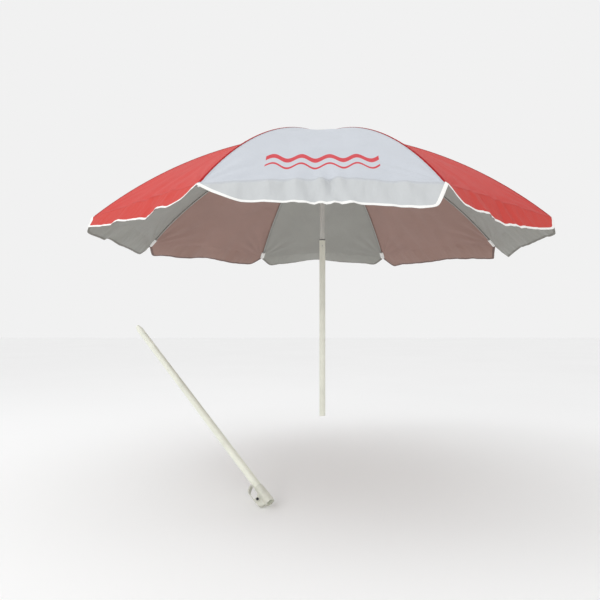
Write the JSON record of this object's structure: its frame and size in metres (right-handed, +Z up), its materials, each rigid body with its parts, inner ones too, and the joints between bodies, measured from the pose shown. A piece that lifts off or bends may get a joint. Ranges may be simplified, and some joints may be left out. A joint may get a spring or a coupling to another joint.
{
  "type": "beach umbrella",
  "caption": "Beach umbrella with an alternating red and white ribbed canopy and flared valance, a folding frame, a two-stage upper pole and a separate lower pole with a lever clamp.",
  "frame": {"origin": "centre of the upper pole's lower end", "axes": "+Z up the pole to the crown, -Y towards the gore that faces the viewer"},
  "size_m": [1.7344, 1.7334, 1.4573],
  "materials": {
    "cloth_white": "woven polyester",
    "cloth_red": "woven polyester",
    "pole_paint": "cream powder coat",
    "rib_steel": "satin",
    "zinc": "zinc plated",
    "black_bolt": "black oxide",
    "white_plastic": "moulded",
    "grey_plastic": "moulded",
    "dark_plastic": "moulded"
  },
  "bodies": {
    "upper_pole": {"main_tube": "pole_paint", "upper_tube": "pole_paint", "reducer_bush": "dark_plastic", "joint_rivet": "zinc", "foot_plug": "dark_plastic", "crown_hub": "white_plastic", "crown_pins": "zinc", "crown_cap": "white_plastic", "crown_screw": "zinc", "stop_sleeve": "dark_plastic"},
    "rib_arm_1": {"rib_1": "rib_steel", "rib_bracket_1": "zinc", "rib_tip_1": "white_plastic", "gore_1": "cloth_red"},
    "rib_arm_2": {"rib_2": "rib_steel", "rib_bracket_2": "zinc", "rib_tip_2": "white_plastic", "gore_2": "cloth_white"},
    "rib_arm_3": {"rib_3": "rib_steel", "rib_bracket_3": "zinc", "rib_tip_3": "white_plastic", "gore_3": "cloth_red"},
    "rib_arm_4": {"rib_4": "rib_steel", "rib_bracket_4": "zinc", "rib_tip_4": "white_plastic", "gore_4": "cloth_white"},
    "rib_arm_5": {"rib_5": "rib_steel", "rib_bracket_5": "zinc", "rib_tip_5": "white_plastic", "gore_5": "cloth_red"},
    "rib_arm_6": {"rib_6": "rib_steel", "rib_bracket_6": "zinc", "rib_tip_6": "white_plastic", "gore_6": "cloth_white"},
    "rib_arm_7": {"rib_7": "rib_steel", "rib_bracket_7": "zinc", "rib_tip_7": "white_plastic", "gore_7": "cloth_red"},
    "rib_arm_8": {"rib_8": "rib_steel", "rib_bracket_8": "zinc", "rib_tip_8": "white_plastic", "gore_8": "cloth_white"},
    "stretcher_arm_1": {"stretcher_1": "rib_steel"},
    "stretcher_arm_2": {"stretcher_2": "rib_steel"},
    "stretcher_arm_3": {"stretcher_3": "rib_steel"},
    "stretcher_arm_4": {"stretcher_4": "rib_steel"},
    "stretcher_arm_5": {"stretcher_5": "rib_steel"},
    "stretcher_arm_6": {"stretcher_6": "rib_steel"},
    "stretcher_arm_7": {"stretcher_7": "rib_steel"},
    "stretcher_arm_8": {"stretcher_8": "rib_steel"},
    "runner_slide": {"runner": "white_plastic", "runner_pins": "zinc"},
    "knob": {"runner_knob": "dark_plastic"},
    "lower_pole": {"lower_tube": "pole_paint", "ground_tip": "pole_paint", "clamp_collar": "grey_plastic", "clamp_bolt": "black_bolt", "clamp_nut": "zinc"},
    "lever": {"clamp_lever": "dark_plastic"}
  },
  "joints": [
    {"name": "rib_fold_1", "type": "hinge", "parent": "upper_pole", "child": "rib_arm_1", "pos_m": [0.00842, -0.02033, 1.184], "axis": [0.9239, 0.3827, 0], "range_deg": [0, 58], "deforming": ["gore_1"]},
    {"name": "rib_fold_2", "type": "hinge", "parent": "upper_pole", "child": "rib_arm_2", "pos_m": [0.02033, -0.00842, 1.184], "axis": [0.3827, 0.9239, 0], "range_deg": [0, 58], "deforming": ["gore_2"]},
    {"name": "rib_fold_3", "type": "hinge", "parent": "upper_pole", "child": "rib_arm_3", "pos_m": [0.02033, 0.00842, 1.184], "axis": [-0.3827, 0.9239, 0], "range_deg": [0, 58], "deforming": ["gore_3"]},
    {"name": "rib_fold_4", "type": "hinge", "parent": "upper_pole", "child": "rib_arm_4", "pos_m": [0.00842, 0.02033, 1.184], "axis": [-0.9239, 0.3827, 0], "range_deg": [0, 58], "deforming": ["gore_4"]},
    {"name": "rib_fold_5", "type": "hinge", "parent": "upper_pole", "child": "rib_arm_5", "pos_m": [-0.00842, 0.02033, 1.184], "axis": [-0.9239, -0.3827, 0], "range_deg": [0, 58], "deforming": ["gore_5"]},
    {"name": "rib_fold_6", "type": "hinge", "parent": "upper_pole", "child": "rib_arm_6", "pos_m": [-0.02033, 0.00842, 1.184], "axis": [-0.3827, -0.9239, 0], "range_deg": [0, 58], "deforming": ["gore_6"]},
    {"name": "rib_fold_7", "type": "hinge", "parent": "upper_pole", "child": "rib_arm_7", "pos_m": [-0.02033, -0.00842, 1.184], "axis": [0.3827, -0.9239, 0], "range_deg": [0, 58], "deforming": ["gore_7"]},
    {"name": "rib_fold_8", "type": "hinge", "parent": "upper_pole", "child": "rib_arm_8", "pos_m": [-0.00842, -0.02033, 1.184], "axis": [0.9239, -0.3827, 0], "range_deg": [0, 58], "deforming": ["gore_8"]},
    {"name": "stretcher_hinge_1", "type": "hinge", "parent": "rib_arm_1", "child": "stretcher_arm_1", "pos_m": [0.14508, -0.35026, 1.08223], "axis": [0.9239, 0.3827, 0], "range_deg": [-116, 0]},
    {"name": "stretcher_hinge_2", "type": "hinge", "parent": "rib_arm_2", "child": "stretcher_arm_2", "pos_m": [0.35026, -0.14508, 1.08223], "axis": [0.3827, 0.9239, 0], "range_deg": [-116, 0]},
    {"name": "stretcher_hinge_3", "type": "hinge", "parent": "rib_arm_3", "child": "stretcher_arm_3", "pos_m": [0.35026, 0.14508, 1.08223], "axis": [-0.3827, 0.9239, 0], "range_deg": [-116, 0]},
    {"name": "stretcher_hinge_4", "type": "hinge", "parent": "rib_arm_4", "child": "stretcher_arm_4", "pos_m": [0.14508, 0.35026, 1.08223], "axis": [-0.9239, 0.3827, 0], "range_deg": [-116, 0]},
    {"name": "stretcher_hinge_5", "type": "hinge", "parent": "rib_arm_5", "child": "stretcher_arm_5", "pos_m": [-0.14508, 0.35026, 1.08223], "axis": [-0.9239, -0.3827, 0], "range_deg": [-116, 0]},
    {"name": "stretcher_hinge_6", "type": "hinge", "parent": "rib_arm_6", "child": "stretcher_arm_6", "pos_m": [-0.35026, 0.14508, 1.08223], "axis": [-0.3827, -0.9239, 0], "range_deg": [-116, 0]},
    {"name": "stretcher_hinge_7", "type": "hinge", "parent": "rib_arm_7", "child": "stretcher_arm_7", "pos_m": [-0.35026, -0.14508, 1.08223], "axis": [0.3827, -0.9239, 0], "range_deg": [-116, 0]},
    {"name": "stretcher_hinge_8", "type": "hinge", "parent": "rib_arm_8", "child": "stretcher_arm_8", "pos_m": [-0.14508, -0.35026, 1.08223], "axis": [0.9239, -0.3827, 0], "range_deg": [-116, 0]},
    {"name": "runner_hinge", "type": "hinge", "parent": "stretcher_arm_1", "child": "runner_slide", "pos_m": [0.00842, -0.02033, 0.98045], "axis": [0.9239, 0.3827, 0], "range_deg": [0, 58]},
    {"name": "knob_turn", "type": "hinge", "parent": "runner_slide", "child": "knob", "pos_m": [0, 0.03, 0.95045], "axis": [0, 1, 0], "continuous": true},
    {"name": "lower_pole_swing", "type": "hinge", "parent": "upper_pole", "child": "lower_pole", "pos_m": [-0.07879, -0.21857, -0.12919], "axis": [0.6961, -0.5343, 0.4795], "range_deg": [0, 187.3]},
    {"name": "lever_hinge", "type": "hinge", "parent": "lower_pole", "child": "lever", "pos_m": [-0.22257, -0.42603, -0.2281], "axis": [-0.2145, -0.7605, 0.6129], "range_deg": [0, 105]}
  ],
  "couplings": [
    {"joint": "rib_fold_2", "follows": "rib_fold_1", "ratio": 1},
    {"joint": "rib_fold_3", "follows": "rib_fold_1", "ratio": 1},
    {"joint": "rib_fold_4", "follows": "rib_fold_1", "ratio": 1},
    {"joint": "rib_fold_5", "follows": "rib_fold_1", "ratio": 1},
    {"joint": "rib_fold_6", "follows": "rib_fold_1", "ratio": 1},
    {"joint": "rib_fold_7", "follows": "rib_fold_1", "ratio": 1},
    {"joint": "rib_fold_8", "follows": "rib_fold_1", "ratio": 1},
    {"joint": "stretcher_hinge_1", "follows": "rib_fold_1", "ratio": -2},
    {"joint": "stretcher_hinge_2", "follows": "rib_fold_1", "ratio": -2},
    {"joint": "stretcher_hinge_3", "follows": "rib_fold_1", "ratio": -2},
    {"joint": "stretcher_hinge_4", "follows": "rib_fold_1", "ratio": -2},
    {"joint": "stretcher_hinge_5", "follows": "rib_fold_1", "ratio": -2},
    {"joint": "stretcher_hinge_6", "follows": "rib_fold_1", "ratio": -2},
    {"joint": "stretcher_hinge_7", "follows": "rib_fold_1", "ratio": -2},
    {"joint": "stretcher_hinge_8", "follows": "rib_fold_1", "ratio": -2},
    {"joint": "runner_hinge", "follows": "rib_fold_1", "ratio": 1}
  ]
}
